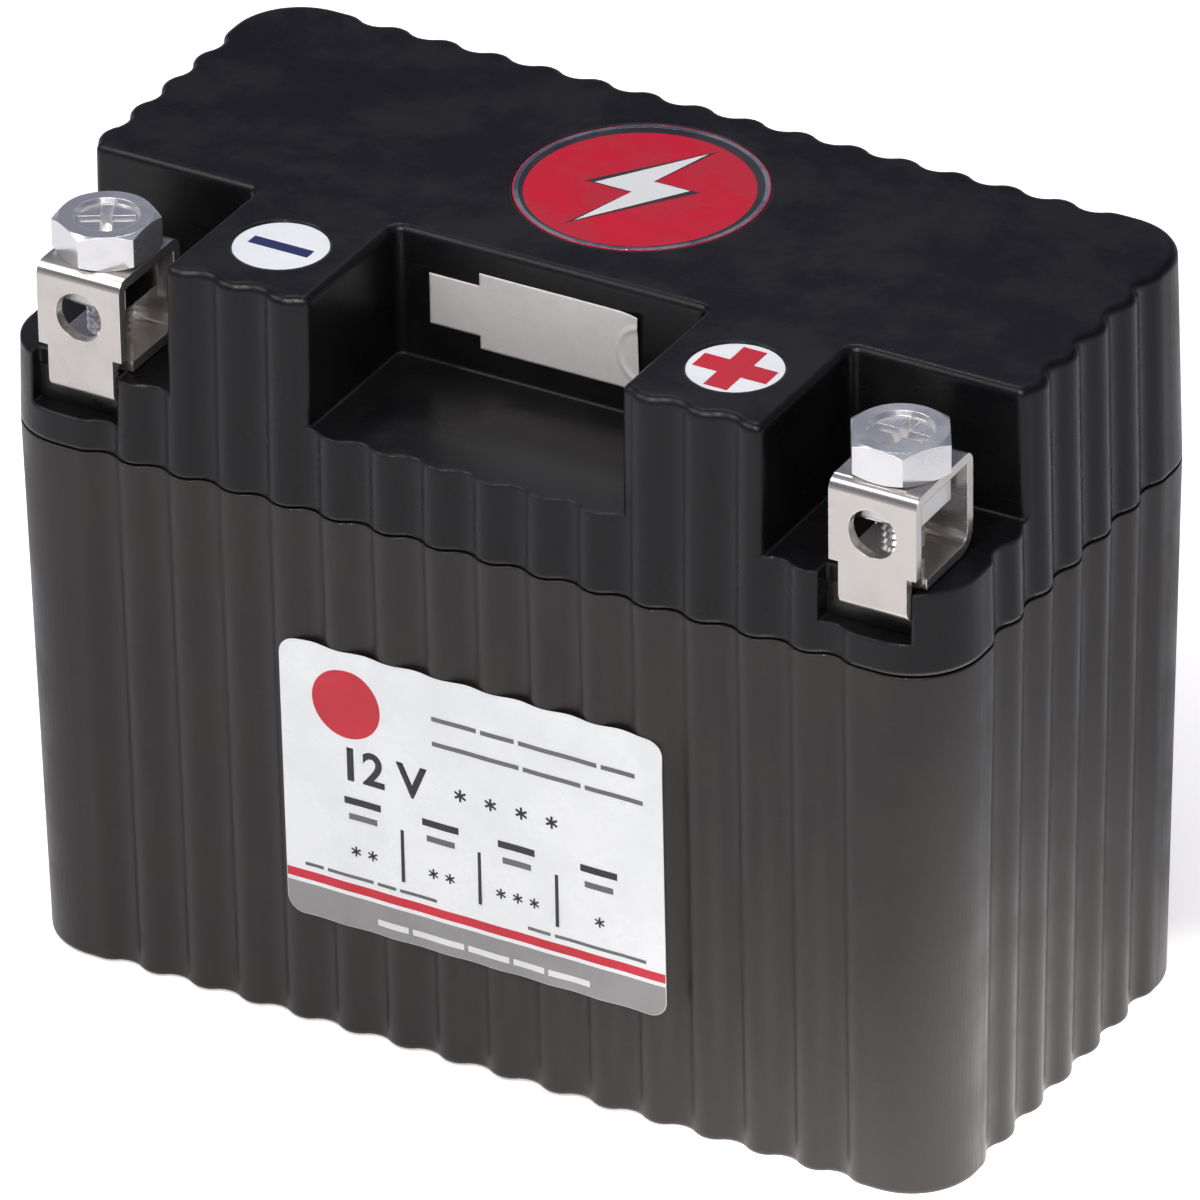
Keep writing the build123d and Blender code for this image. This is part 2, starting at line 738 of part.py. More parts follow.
# ---------------------------------------------------------------- balance leads
pin_end_y = port_back_y + pin_tail
pin_xs = [port_x + (n - (pin_count - 1) / 2) * pin_pitch for n in range(pin_count)]
link_z = carrier_z + link_thickness
strap_top_z = strap_z + strap_thickness
gap_ys = [(cell_ys[n] + cell_ys[n + 1]) / 2 for n in range(cell_count - 1)]
strap_lead_y = cell_ys[-1] - face - strap_width / 2
left_x = -tab_offset - link_width / 4
lead_routes = [
    (6.5, [(left_x, pin_end_y + 3, -0.5), (left_x, cell_ys[0] + 5, -1.5)], strap_top_z),
    (10.0, [(4 - tab_offset, pin_end_y + 11, -4), (4 - tab_offset, gap_ys[1], -6)], link_z),
    (strap_lead_y - pin_end_y, [], strap_top_z),
    (9.0, [(tab_offset, gap_ys[2] - cell_thickness / 3, -2)], link_z),
    (6.5, [(tab_offset, pin_end_y + 1, -1), (tab_offset, gap_ys[0], -2)], link_z),
]
lead_bend_share = 0.45        # share of the shorter run that a bend may take


def lead_points(start_x, route):
    """Points of one lead: straight back from its pin, across, then down to a bar."""
    first_run, crossing, landing_z = route
    points = [
        Vector(start_x, pin_end_y, port_z),
        Vector(start_x, pin_end_y + first_run, port_z),
    ]
    for x, y, down in crossing:
        points.append(Vector(x, y, port_z + down))
    points.append(Vector(points[-1].X, points[-1].Y, landing_z))
    return points


def bend_radii(points):
    """Radius at each corner, as large as the shorter of its two runs allows."""
    radii = []
    for before, corner, after in zip(points, points[1:], points[2:]):
        turn = radians((corner - before).get_angle(after - corner))
        shorter = min((corner - before).length, (after - corner).length)
        radii.append(lead_bend_share * shorter / tan(turn / 2))
    return radii


with BuildPart() as leads:
    for start_x, route in zip(pin_xs, lead_routes):
        points = lead_points(start_x, route)
        radii = bend_radii(points)
        print("lead radii", [round(radius, 1) for radius in radii])
        with BuildLine() as path:
            FilletPolyline(*points, radius=radii)
        with BuildSketch(Plane(points[0], x_dir=(1, 0, 0), z_dir=(0, 1, 0))):
            Circle(lead_diameter / 2)
        sweep(path=path.line)
save(leads.part, "balance_leads")
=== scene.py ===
import json
import math

import bmesh
import bpy
from mathutils import Matrix, Vector


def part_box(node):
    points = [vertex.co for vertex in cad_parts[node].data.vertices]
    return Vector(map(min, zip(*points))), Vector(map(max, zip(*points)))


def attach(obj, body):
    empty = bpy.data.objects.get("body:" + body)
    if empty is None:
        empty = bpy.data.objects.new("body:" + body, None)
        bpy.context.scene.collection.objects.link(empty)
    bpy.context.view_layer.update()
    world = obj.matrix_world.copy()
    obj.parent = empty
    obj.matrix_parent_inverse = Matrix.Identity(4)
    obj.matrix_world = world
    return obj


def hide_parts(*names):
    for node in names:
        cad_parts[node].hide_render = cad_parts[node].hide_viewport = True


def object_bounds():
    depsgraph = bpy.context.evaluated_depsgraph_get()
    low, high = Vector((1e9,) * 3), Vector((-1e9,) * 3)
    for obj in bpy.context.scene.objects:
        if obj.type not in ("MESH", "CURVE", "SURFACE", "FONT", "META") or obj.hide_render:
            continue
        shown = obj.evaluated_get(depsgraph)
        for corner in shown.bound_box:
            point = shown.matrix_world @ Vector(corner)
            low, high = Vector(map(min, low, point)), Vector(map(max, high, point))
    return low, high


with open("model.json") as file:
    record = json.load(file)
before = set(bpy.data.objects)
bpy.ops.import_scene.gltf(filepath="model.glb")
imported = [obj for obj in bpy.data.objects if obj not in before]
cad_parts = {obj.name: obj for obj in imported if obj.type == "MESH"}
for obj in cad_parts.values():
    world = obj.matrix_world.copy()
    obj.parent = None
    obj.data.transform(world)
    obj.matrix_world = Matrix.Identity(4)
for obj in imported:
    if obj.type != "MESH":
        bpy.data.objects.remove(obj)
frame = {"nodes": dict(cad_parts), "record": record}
cad_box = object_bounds()
nodes = frame["nodes"]
MM = 0.001
BATTERY = "battery"


# ---------------------------------------------------------------- shared shader effects
def shader_group(name, inputs, outputs):
    """Empty shader node group with number inputs and typed outputs, and its two end nodes."""
    tree = bpy.data.node_groups.new(name, "ShaderNodeTree")
    for label, value in inputs:
        socket = tree.interface.new_socket(label, in_out="INPUT", socket_type="NodeSocketFloat")
        socket.default_value = value
    for label, kind in outputs:
        tree.interface.new_socket(label, in_out="OUTPUT", socket_type=kind)
    return tree, tree.nodes.new("NodeGroupInput"), tree.nodes.new("NodeGroupOutput")


def add_node(tree, kind, links=(), **settings):
    """New node with its settings, its inputs linked from or set to the values given."""
    node = tree.nodes.new(kind)
    for key, value in settings.items():
        setattr(node, key, value)
    for socket, source in dict(links).items():
        if isinstance(source, bpy.types.NodeSocket):
            tree.links.new(source, node.inputs[socket])
        else:
            node.inputs[socket].default_value = source
    return node


def maths(tree, operation, first, second=0.0, third=0.0):
    node = add_node(
        tree, "ShaderNodeMath", {0: first, 1: second, 2: third}, operation=operation
    )
    return node.outputs[0]


def between(tree, value, low, high, to_low=0.0, to_high=1.0):
    """Value taken from one range to another, smoothly and clamped."""
    node = add_node(
        tree,
        "ShaderNodeMapRange",
        {"Value": value, 1: low, 2: high, 3: to_low, 4: to_high},
        interpolation_type="SMOOTHSTEP",
    )
    return node.outputs["Result"]


def in_millimetres(tree, stretch=None):
    """Object coordinates in millimetres, drawn out along Z by the stretch."""
    place = add_node(tree, "ShaderNodeTexCoord")
    scale = add_node(tree, "ShaderNodeVectorMath", {0: place.outputs["Object"]}, operation="SCALE")
    scale.inputs["Scale"].default_value = 1 / MM
    if stretch is None:
        return scale.outputs[0]
    shrink = maths(tree, "DIVIDE", 1.0, stretch)
    factors = add_node(tree, "ShaderNodeCombineXYZ", {"X": 1.0, "Y": 1.0, "Z": shrink})
    drawn = add_node(
        tree,
        "ShaderNodeVectorMath",
        {0: scale.outputs[0], 1: factors.outputs[0]},
        operation="MULTIPLY",
    )
    return drawn.outputs[0]


def make_moulded_grain():
    """Fine grain of a moulded surface, with broad patches of wear from handling."""
    tree, given, result = shader_group(
        "moulded_grain",
        [("Grain per mm", 4.0), ("Stretch", 1.0)],
        [("Height", "NodeSocketFloat"), ("Patches", "NodeSocketFloat")],
    )
    place = in_millimetres(tree, given.outputs["Stretch"])
    fine = add_node(
        tree,
        "ShaderNodeTexNoise",
        {"Vector": place, "Scale": given.outputs["Grain per mm"], "Detail": 3.0, "Roughness": 0.6},
    )
    pits = add_node(
        tree, "ShaderNodeTexVoronoi", {"Vector": place, "Scale": given.outputs["Grain per mm"]}
    )
    height = maths(tree, "MULTIPLY_ADD", pits.outputs["Distance"], 0.4, fine.outputs[0])
    broad = add_node(
        tree,
        "ShaderNodeTexNoise",
        {"Vector": in_millimetres(tree), "Scale": 0.09, "Detail": 4.0, "Roughness": 0.65},
    )
    tree.links.new(height, result.inputs["Height"])
    tree.links.new(between(tree, broad.outputs[0], 0.35, 0.68), result.inputs["Patches"])
    return tree


def make_soft_edges():
    """Edges rounded in the shading, and a mask of where they are."""
    tree, given, result = shader_group(
        "soft_edges",
        [("Radius", 0.0002)],
        [("Normal", "NodeSocketVector"), ("Edge", "NodeSocketFloat")],
    )
    rounded = add_node(tree, "ShaderNodeBevel", {"Radius": given.outputs["Radius"]}, samples=6)
    plain = add_node(tree, "ShaderNodeNewGeometry")
    agree = add_node(
        tree,
        "ShaderNodeVectorMath",
        {0: rounded.outputs[0], 1: plain.outputs["Normal"]},
        operation="DOT_PRODUCT",
    )
    tree.links.new(rounded.outputs[0], result.inputs["Normal"])
    edge = between(tree, agree.outputs["Value"], 0.995, 0.86)
    tree.links.new(edge, result.inputs["Edge"])
    return tree


def make_scratches():
    """Short fine scratches lying two ways."""
    tree, given, result = shader_group(
        "scratches", [("Amount", 0.5)], [("Mask", "NodeSocketFloat")]
    )
    masks = []
    for angle, seed in ((25.0, 3.1), (-48.0, 8.7)):
        turned = add_node(tree, "ShaderNodeMapping", {"Vector": in_millimetres(tree)})
        turned.inputs["Location"].default_value = (seed, seed, seed)
        turned.inputs["Rotation"].default_value = [math.radians(angle)] * 3
        turned.inputs["Scale"].default_value = (0.25, 6.0, 2.5)
        streaks = add_node(
            tree, "ShaderNodeTexNoise", {"Vector": turned.outputs[0], "Scale": 1.0, "Detail": 2.0}
        )
        masks.append(between(tree, streaks.outputs[0], 0.66, 0.74))
    both = maths(tree, "MAXIMUM", masks[0], masks[1])
    tree.links.new(maths(tree, "MULTIPLY", both, given.outputs["Amount"]), result.inputs["Mask"])
    return tree


def make_settled_dust():
    """Fine dust on faces that look up."""
    tree, given, result = shader_group(
        "settled_dust", [("Amount", 0.3)], [("Mask", "NodeSocketFloat")]
    )
    plain = add_node(tree, "ShaderNodeNewGeometry")
    parts = add_node(tree, "ShaderNodeSeparateXYZ", {0: plain.outputs["Normal"]})
    upward = between(tree, parts.outputs["Z"], 0.5, 0.95)
    specks = add_node(
        tree,
        "ShaderNodeTexNoise",
        {"Vector": in_millimetres(tree), "Scale": 5.0, "Detail": 5.0, "Roughness": 0.75},
    )
    spread = between(tree, specks.outputs[0], 0.52, 0.78)
    dust = maths(tree, "MULTIPLY", upward, spread)
    tree.links.new(maths(tree, "MULTIPLY", dust, given.outputs["Amount"]), result.inputs["Mask"])
    return tree


grain_group = make_moulded_grain()
edge_group = make_soft_edges()
scratch_group = make_scratches()
dust_group = make_settled_dust()


def use_group(tree, group, **values):
    node = tree.nodes.new("ShaderNodeGroup")
    node.node_tree = group
    for label, value in values.items():
        node.inputs[label.replace("_", " ")].default_value = value
    return node


def blend_colour(tree, share, first, second):
    """Colour that goes from the first to the second with the share."""
    mix = tree.nodes.new("ShaderNodeMix")
    mix.data_type = "RGBA"
    for socket, source in ((0, share), (6, first), (7, second)):
        if isinstance(source, bpy.types.NodeSocket):
            tree.links.new(source, mix.inputs[socket])
        elif socket == 0:
            mix.inputs[socket].default_value = source
        else:
            mix.inputs[socket].default_value = (*source, 1.0)
    return mix.outputs[2]


def finish(
    name,
    colour,
    patch_colour,
    roughness,
    patch_roughness,
    metallic=0.0,
    grain=4.0,
    stretch=1.0,
    grain_depth=0.01,
    edge_radius=0.15,
    edge_wear_and_highlight_colour=None,
    edge_wear_and_highlight_share=0.5,
    scratch=0.2,
    scratch_colour=None,
    dust=0.0,
    specular=0.5,
    coat=0.0,
):
    """Material with grain, patches, lighter edges (painted edge highlight, partly edge wear),
    scratches and dust. Sizes are in millimetres.
    """
    made = bpy.data.materials.new(name)
    made.use_nodes = True
    tree = made.node_tree
    shader = tree.nodes["Principled BSDF"]
    shader.inputs["Metallic"].default_value = metallic
    shader.inputs["Specular IOR Level"].default_value = specular
    if coat:
        shader.inputs["Coat Weight"].default_value = coat
        shader.inputs["Coat Roughness"].default_value = 0.08
    texture = use_group(tree, grain_group, Grain_per_mm=grain, Stretch=stretch)
    edges = use_group(tree, edge_group, Radius=edge_radius * MM)
    scuffs = use_group(tree, scratch_group, Amount=scratch)
    base = blend_colour(tree, texture.outputs["Patches"], colour, patch_colour)
    # edges take a lighter colour: painted edge highlight, partly edge wear
    edge_wear_and_highlight = maths(tree, "MULTIPLY", edges.outputs["Edge"], edge_wear_and_highlight_share)
    base = blend_colour(tree, edge_wear_and_highlight, base, edge_wear_and_highlight_colour or patch_colour)
    base = blend_colour(tree, scuffs.outputs["Mask"], base, scratch_colour or patch_colour)
    sheen = between(tree, texture.outputs["Patches"], 0.0, 1.0, roughness, patch_roughness)
    sheen = maths(tree, "MULTIPLY_ADD", scuffs.outputs["Mask"], 0.25, sheen)
    polish = between(tree, edges.outputs["Edge"], 0.0, 0.5, 1.0, 0.35)
    sheen = maths(tree, "MULTIPLY", sheen, polish)
    if dust:
        settled = use_group(tree, dust_group, Amount=dust)
        base = blend_colour(tree, settled.outputs["Mask"], base, (0.30, 0.30, 0.29))
        sheen = maths(tree, "MULTIPLY_ADD", settled.outputs["Mask"], 0.4, sheen)
    relief = add_node(
        tree,
        "ShaderNodeBump",
        {
            "Height": texture.outputs["Height"],
            "Normal": edges.outputs["Normal"],
            "Strength": 1.0,
            "Distance": grain_depth * MM,
        },
    )
    tree.links.new(base, shader.inputs["Base Color"])
    tree.links.new(sheen, shader.inputs["Roughness"])
    tree.links.new(relief.outputs[0], shader.inputs["Normal"])
    return made


# lighter edge colours below: painted edge highlights, partly edge wear
finishes = {
    "case_plastic": finish(
        "case_plastic", (0.0108, 0.0078, 0.0070), (0.0180, 0.0134, 0.0120), 0.34, 0.46,
        specular=0.42, grain=2.6, stretch=9.0, grain_depth=0.020, edge_radius=0.30,
        edge_wear_and_highlight_share=0.3, edge_wear_and_highlight_colour=(0.06, 0.056, 0.053), scratch=0.16,
        scratch_colour=(0.05, 0.046, 0.043), dust=0.12,
    ),
    "lid_plastic": finish(
        "lid_plastic", (0.0046, 0.0041, 0.0046), (0.0064, 0.0057, 0.0063), 0.26, 0.36,
        specular=0.26,
        grain=3.4, stretch=1.0, grain_depth=0.010, edge_radius=0.60, edge_wear_and_highlight_share=0.30,
        edge_wear_and_highlight_colour=(0.05, 0.05, 0.053), scratch=0.10, scratch_colour=(0.03, 0.031, 0.035), dust=0.04,
    ),
    "seal_black": finish(
        "seal_black", (0.004, 0.004, 0.004), (0.008, 0.008, 0.008), 0.7, 0.85, grain=6.0, scratch=0.0
    ),
    "strip_nickel": finish(
        "strip_nickel", (0.60, 0.565, 0.53), (0.52, 0.49, 0.455), 0.17, 0.27, metallic=0.85,
        grain=3.0, stretch=6.0, grain_depth=0.0025, edge_radius=0.14, edge_wear_and_highlight_share=0.6,
        edge_wear_and_highlight_colour=(0.88, 0.86, 0.82), scratch=0.22, scratch_colour=(0.42, 0.40, 0.37),
    ),
    "resin_black": finish(
        "resin_black", (0.006, 0.006, 0.006), (0.012, 0.012, 0.012), 0.25, 0.4, grain=1.5, scratch=0.0
    ),
    "disc_white": finish(
        "disc_white", (0.80, 0.81, 0.82), (0.72, 0.73, 0.74), 0.28, 0.4, grain=3.0,
        grain_depth=0.003, edge_radius=0.08, edge_wear_and_highlight_share=0.3, scratch=0.1,
        scratch_colour=(0.5, 0.5, 0.5),
    ),
    "badge_red": finish(
        "badge_red", (0.56, 0.010, 0.028), (0.44, 0.008, 0.022), 0.2, 0.32, grain=3.0,
        grain_depth=0.003, edge_radius=0.08, edge_wear_and_highlight_share=0.4, scratch=0.15,
        scratch_colour=(0.62, 0.12, 0.12), coat=0.3,
    ),
    "label_film": finish(
        "label_film", (0.76, 0.77, 0.765), (0.70, 0.712, 0.71), 0.26, 0.38, grain=1.2,
        grain_depth=0.006, edge_radius=0.06, edge_wear_and_highlight_share=0.2, scratch=0.08,
        scratch_colour=(0.6, 0.6, 0.6),
    ),
    "port_plastic": finish(
        "port_plastic", (0.62, 0.60, 0.54), (0.55, 0.53, 0.47), 0.45, 0.55, grain=3.0, scratch=0.1
    ),
    "pin_brass": finish(
        "pin_brass", (0.78, 0.60, 0.28), (0.68, 0.52, 0.24), 0.2, 0.32, metallic=1.0, grain=6.0,
        grain_depth=0.002,
    ),
    "foil_silver": finish(
        "foil_silver", (0.68, 0.65, 0.63), (0.61, 0.585, 0.565), 0.44, 0.56, metallic=0.30,
        grain=2.2, grain_depth=0.008, edge_radius=0.05, scratch=0.2, scratch_colour=(0.45, 0.46, 0.45),
    ),
    "cell_pouch": finish(
        "cell_pouch", (0.60, 0.61, 0.63), (0.52, 0.53, 0.56), 0.3, 0.42, metallic=0.9, grain=0.8,
        grain_depth=0.05, scratch=0.15,
    ),
    "tab_nickel": finish(
        "tab_nickel", (0.66, 0.64, 0.60), (0.58, 0.56, 0.52), 0.25, 0.4, metallic=1.0, grain=3.0,
        stretch=5.0, grain_depth=0.004,
    ),
    "foam_grey": finish(
        "foam_grey", (0.12, 0.12, 0.12), (0.16, 0.16, 0.16), 0.85, 0.95, grain=2.0,
        grain_depth=0.12, edge_radius=0.3, scratch=0.0,
    ),
    "carrier_plastic": finish(
        "carrier_plastic", (0.62, 0.62, 0.57), (0.55, 0.55, 0.50), 0.4, 0.5, grain=3.0
    ),
    "link_copper": finish(
        "link_copper", (0.72, 0.36, 0.22), (0.58, 0.28, 0.17), 0.24, 0.4, metallic=1.0, grain=3.0,
        stretch=0.3, grain_depth=0.004, edge_wear_and_highlight_colour=(0.85, 0.52, 0.38),
    ),
    "lead_cover": finish(
        "lead_cover", (0.42, 0.02, 0.016), (0.34, 0.016, 0.012), 0.4, 0.55, grain=4.0, scratch=0.05
    ),
    # near-white edges: painted highlight on the bolt's edges, partly wear
    "bolt_zinc": finish(
        "bolt_zinc", (0.80, 0.79, 0.79), (0.68, 0.67, 0.67), 0.16, 0.28, metallic=0.8, grain=2.4,
        grain_depth=0.004, edge_radius=0.10, edge_wear_and_highlight_share=0.7, edge_wear_and_highlight_colour=(0.95, 0.95, 0.95),
        scratch=0.2, scratch_colour=(0.50, 0.50, 0.51),
    ),
    "nut_zinc": finish(
        "nut_zinc", (0.62, 0.61, 0.59), (0.50, 0.49, 0.47), 0.22, 0.34, metallic=1.0, grain=2.6,
        grain_depth=0.005, edge_radius=0.16, edge_wear_and_highlight_share=0.6, edge_wear_and_highlight_colour=(0.85, 0.84, 0.82),
        scratch=0.2, scratch_colour=(0.45, 0.44, 0.42),
    ),
}


def make_ink(name, colour, patch_colour, roughness=0.3, patch_roughness=0.42):
    """Thin print, with a little wear, and no edge wear or painted edge highlight of its own."""
    return finish(
        name, colour, patch_colour, roughness, patch_roughness, grain=3.0,
        grain_depth=0.002, edge_radius=0.01, edge_wear_and_highlight_share=0.0, scratch=0.05,
    )


inks = {
    "black": make_ink("ink_black", (0.012, 0.012, 0.014), (0.022, 0.022, 0.024)),
    "red": make_ink("ink_red", (0.55, 0.012, 0.03), (0.46, 0.010, 0.024), 0.28, 0.4),
    "grey": make_ink("ink_grey", (0.26, 0.255, 0.25), (0.22, 0.215, 0.21)),
    "text_grey": make_ink("ink_text_grey", (0.10, 0.10, 0.105), (0.13, 0.13, 0.135)),
    "pale": make_ink("ink_pale", (0.70, 0.70, 0.69), (0.64, 0.64, 0.63)),
    "blue": make_ink("ink_blue", (0.018, 0.024, 0.10), (0.014, 0.018, 0.08), 0.28, 0.4),
    "silver": finish(
        "ink_silver", (0.66, 0.68, 0.72), (0.52, 0.54, 0.58), 0.18, 0.32, metallic=1.0, grain=3.0,
        grain_depth=0.003, edge_radius=0.02, edge_wear_and_highlight_share=0.0, scratch=0.1,
    ),
}

for row in frame["record"]["subparts"]:
    for material_slot in nodes[row["node"]].material_slots:
        material_slot.material = finishes[row["material_slot"]]


# ---------------------------------------------------------------- printed marks
flute_pitch = 6.15             # millimetres from crest to crest along the front
film_thickness = 0.10
film_settle = 0.04             # film behind the front of the label's solid
film_dip = 0.05                # depth of the film between two crests, away from its edges
top_dip = 0.34                 # what the upper edge dips more, and how far down that reaches
top_reach = 2.2
foot_dip = 0.10
foot_reach = 1.5


class Print:
    """Flat outlines in millimetres, to be laid on a surface in one ink."""

    def __init__(self):
        self.shapes = bmesh.new()

    def outline(self, points):
        self.shapes.faces.new([self.shapes.verts.new((x, y, 0)) for x, y in points])

    def bar(self, left, bottom, right, top):
        self.outline([(left, bottom), (right, bottom), (right, top), (left, top)])

    def ring(self, centre, outer, inner=0.0, hole=None, steps=96):
        """Disc, or a ring whose hole may stand off its centre."""

        def circle(middle, radius):
            turns = [2 * math.pi * step / steps for step in range(steps)]
            return [
                (middle[0] + radius * math.cos(turn), middle[1] + radius * math.sin(turn))
                for turn in turns
            ]

        if not inner:
            self.outline(circle(centre, outer))
            return
        far = [self.shapes.verts.new((x, y, 0)) for x, y in circle(centre, outer)]
        close = [self.shapes.verts.new((x, y, 0)) for x, y in circle(hole or centre, inner)]
        for here in range(steps):
            there = (here + 1) % steps
            self.shapes.faces.new([close[here], far[here], far[there], close[there]])

    def round_bar(self, left, bottom, right, top, corners, steps=8):
        """Bar with rounded corners, given as radii from the lower left one counter-clockwise."""
        points = []
        middles = (
            (left, bottom, 1, 1),
            (right, bottom, -1, 1),
            (right, top, -1, -1),
            (left, top, 1, -1),
        )
        for quarter, (x, y, inward_x, inward_y) in enumerate(middles):
            radius = corners[quarter]
            for step in range(steps + 1 if radius else 1):
                turn = math.pi * (1 + (quarter + step / steps) / 2)
                points.append(
                    (
                        x + radius * (inward_x + math.cos(turn)),
                        y + radius * (inward_y + math.sin(turn)),
                    )
                )
        self.outline(points)

    def star(self, centre, radius, width, arms=3):
        """Small mark of crossed bars."""
        for arm in range(arms):
            turn = math.pi / 2 + math.pi * arm / arms
            along = Vector((math.cos(turn), math.sin(turn))) * radius
            across = Vector((-along.y, along.x)) / radius * width / 2
            middle = Vector(centre)
            self.outline(
                [
                    middle - along - across,
                    middle + along - across,
                    middle + along + across,
                    middle - along + across,
                ]
            )

    def figures(self, text, left, bottom, height, weight=0.0):
        curve = bpy.data.curves.new("figures", "FONT")
        curve.body = text
        curve.size = height / 0.7
        curve.offset = weight
        carrier = bpy.data.objects.new("figures", curve)
        bpy.context.scene.collection.objects.link(carrier)
        bpy.context.view_layer.update()
        flat = bpy.data.meshes.new_from_object(
            carrier.evaluated_get(bpy.context.evaluated_depsgraph_get())
        )
        flat.transform(Matrix.Translation((left, bottom, 0)))
        self.shapes.from_mesh(flat)
        bpy.data.objects.remove(carrier)
        bpy.data.curves.remove(curve)
        bpy.data.meshes.remove(flat)

    def cut_up(self, spacing, along):
        """Cut the outlines at even steps, so that they can follow a curved surface."""
        shapes = self.shapes
        reaches = [vert.co[along] for vert in shapes.verts]
        direction = Vector((1 - along, along, 0))
        cut = math.ceil(min(reaches) / spacing) * spacing
        while cut < max(reaches):
            bmesh.ops.bisect_plane(
                shapes,
                geom=list(shapes.verts) + list(shapes.edges) + list(shapes.faces),
                plane_co=direction * cut,
                plane_no=direction,
            )
            cut += spacing

    def lay(self, name, ink, place, outward, slot, spacing=None, thickness=0.012 * MM):
        """Closed thin layer of ink. place takes a point in millimetres to the surface."""
        shapes = self.shapes
        if spacing:
            self.cut_up(spacing[0], 0)
            self.cut_up(spacing[1], 1)
        bmesh.ops.remove_doubles(shapes, verts=shapes.verts, dist=0.0005)
        bmesh.ops.triangulate(shapes, faces=shapes.faces)
        for vert in shapes.verts:
            vert.co = place(vert.co.x, vert.co.y)
        bottom_faces = list(shapes.faces)
        copied = bmesh.ops.duplicate(shapes, geom=bottom_faces)
        twin = {
            old: new for old, new in copied["vert_map"].items() if isinstance(old, bmesh.types.BMVert)
        }
        rims = [edge for face in bottom_faces for edge in face.edges if len(edge.link_faces) == 1]
        bottom_verts = {vert for face in bottom_faces for vert in face.verts}
        for vert in bottom_verts:
            twin[vert].co = vert.co + outward * thickness
        for edge in rims:
            first, second = edge.verts
            shapes.faces.new([first, second, twin[second], twin[first]])
        bmesh.ops.recalc_face_normals(shapes, faces=shapes.faces)
        mesh = bpy.data.meshes.new(name)
        shapes.to_mesh(mesh)
        shapes.free()
        mesh.materials.append(ink)
        piece = bpy.data.objects.new(name, mesh)
        bpy.context.scene.collection.objects.link(piece)
        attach(piece, BATTERY)
        return piece


def label_surface():
    """Places on the label film, for a point across and up from its lower left corner.

    The film is stretched over the crests of the flutes and dips a little between them,
    most of all along its upper edge.
    """
    low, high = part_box("front_label")
    width, height = (high.x - low.x) / MM, (high.z - low.z) / MM
    lean = (high.y - low.y - film_thickness * MM) / (high.z - low.z)

    def place(across, upward, lift=0.0):
        x, z = low.x + across * MM, low.z + upward * MM
        near_top = math.exp(-(((height - upward) / top_reach) ** 2))
        near_foot = math.exp(-((upward / foot_reach) ** 2))
        dip = film_dip + top_dip * near_top + foot_dip * near_foot
        wave = 0.5 + 0.5 * math.cos(2 * math.pi * x / (flute_pitch * MM))
        y = low.y + (high.z - z) * lean + (film_settle + dip * wave - lift) * MM
        return Vector((x, y, z))

    return place, width, height


def word_bars(mark, left, right, bottom, height, words):
    """Row of bars, one for each share of the row's length, with even gaps."""
    gap = 0.5
    room = right - left - gap * (len(words) - 1)
    here = left
    for share in words:
        length = room * share / sum(words)
        mark.bar(here, bottom, here + length, bottom + height)
        here += length + gap


ink_lift = 0.006               # foot of the print over the film, and of print over print
top_ink_lift = 0.022
rule_lift = 0.012              # middle of a rule over the film
rule_thickness = 0.012


def make_rule_tree():
    """Upright rules at even steps, each as deep as the film is where the rule stands."""
    tree = bpy.data.node_groups.new("upright_rules", "GeometryNodeTree")
    kinds = {
        "Count": "NodeSocketInt",
        "Spacing": "NodeSocketFloat",
        "Width": "NodeSocketFloat",
        "Height": "NodeSocketFloat",
        "Thickness": "NodeSocketFloat",
        "Pitch": "NodeSocketFloat",
        "Dip": "NodeSocketFloat",
        "First": "NodeSocketVector",
        "Ink": "NodeSocketMaterial",
    }
    sockets = {
        name: tree.interface.new_socket(name, in_out="INPUT", socket_type=kind).identifier
        for name, kind in kinds.items()
    }
    tree.interface.new_socket("Geometry", in_out="OUTPUT", socket_type="NodeSocketGeometry")
    given = tree.nodes.new("NodeGroupInput").outputs
    step = add_node(tree, "ShaderNodeCombineXYZ", {"X": given["Spacing"]})
    line = add_node(
        tree,
        "GeometryNodeMeshLine",
        {"Count": given["Count"], "Start Location": given["First"], "Offset": step.outputs[0]},
    )
    size = add_node(
        tree,
        "ShaderNodeCombineXYZ",
        {"X": given["Width"], "Y": given["Thickness"], "Z": given["Height"]},
    )
    rule = add_node(tree, "GeometryNodeMeshCube", {"Size": size.outputs[0]})
    placed = add_node(
        tree,
        "GeometryNodeInstanceOnPoints",
        {"Points": line.outputs[0], "Instance": rule.outputs[0]},
    )
    solid = add_node(tree, "GeometryNodeRealizeInstances", {0: placed.outputs[0]})
    position = tree.nodes.new("GeometryNodeInputPosition")
    spot = add_node(tree, "ShaderNodeSeparateXYZ", {0: position.outputs[0]})
    first = add_node(tree, "ShaderNodeSeparateXYZ", {0: given["First"]})

    def wave(x):
        turns = maths(tree, "DIVIDE", x, given["Pitch"])
        turned = maths(tree, "COSINE", maths(tree, "MULTIPLY", turns, 2 * math.pi))
        return maths(tree, "MULTIPLY", turned, maths(tree, "MULTIPLY", given["Dip"], 0.5))

    deeper = maths(tree, "SUBTRACT", wave(spot.outputs["X"]), wave(first.outputs["X"]))
    shift = add_node(tree, "ShaderNodeCombineXYZ", {"Y": deeper})
    moved = add_node(
        tree, "GeometryNodeSetPosition", {"Geometry": solid.outputs[0], "Offset": shift.outputs[0]}
    )
    inked = add_node(
        tree, "GeometryNodeSetMaterial", {"Geometry": moved.outputs[0], "Material": given["Ink"]}
    )
    add_node(tree, "NodeGroupOutput", {"Geometry": inked.outputs[0]})
    return tree, sockets


